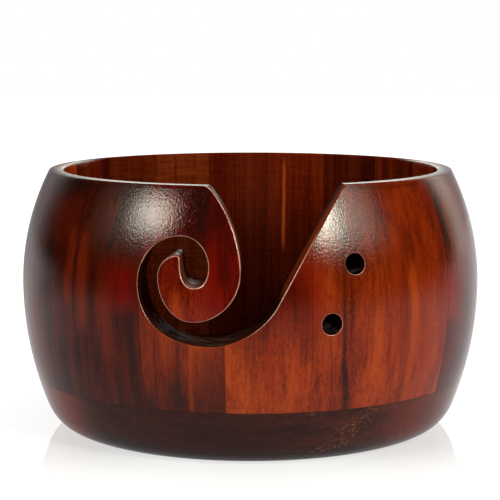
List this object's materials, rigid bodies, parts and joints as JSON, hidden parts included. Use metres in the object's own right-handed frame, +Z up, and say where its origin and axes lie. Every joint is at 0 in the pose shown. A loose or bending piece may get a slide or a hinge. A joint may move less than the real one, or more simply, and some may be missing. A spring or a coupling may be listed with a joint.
{
  "type": "yarn bowl",
  "caption": "Round turned wooden bowl that holds a ball of yarn, with a spiral slot that guides the yarn out and two small holes for needles.",
  "frame": {"origin": "middle of the foot, on the surface that the bowl stands on", "axes": "+Z up along the axis that the bowl was turned on; the slot faces -Y, with the hook at -X and the needle holes at +X"},
  "size_m": [0.178, 0.1778, 0.1],
  "materials": {
    "stave_wood_orange": "gloss lacquer over straight upright grain",
    "stave_wood_red": "gloss lacquer over straight upright grain",
    "stave_wood_brown": "gloss lacquer over straight upright grain",
    "stave_wood_dark": "gloss lacquer over straight upright grain",
    "base_wood": "gloss lacquer over flat-lying grain"
  },
  "bodies": {
    "root": {"base_disc": "base_wood", "hook_edge_strip": "stave_wood_red", "slot_stave_lower": "stave_wood_orange", "needle_hole_stave": "stave_wood_orange", "wall_stave_01": "stave_wood_orange", "wall_stave_02": "stave_wood_dark", "wall_stave_03": "stave_wood_brown", "wall_stave_04": "stave_wood_orange", "wall_stave_05": "stave_wood_brown", "wall_stave_06": "stave_wood_dark", "wall_stave_07": "stave_wood_orange", "wall_stave_08": "stave_wood_brown", "wall_stave_09": "stave_wood_orange", "wall_stave_10": "stave_wood_brown", "wall_stave_11": "stave_wood_brown", "wall_stave_12": "stave_wood_orange", "wall_stave_13": "stave_wood_brown", "wall_stave_14": "stave_wood_dark", "wall_stave_15": "stave_wood_brown", "hook_stave_upper": "stave_wood_red", "hook_stave_lower": "stave_wood_brown"}
  },
  "joints": []
}
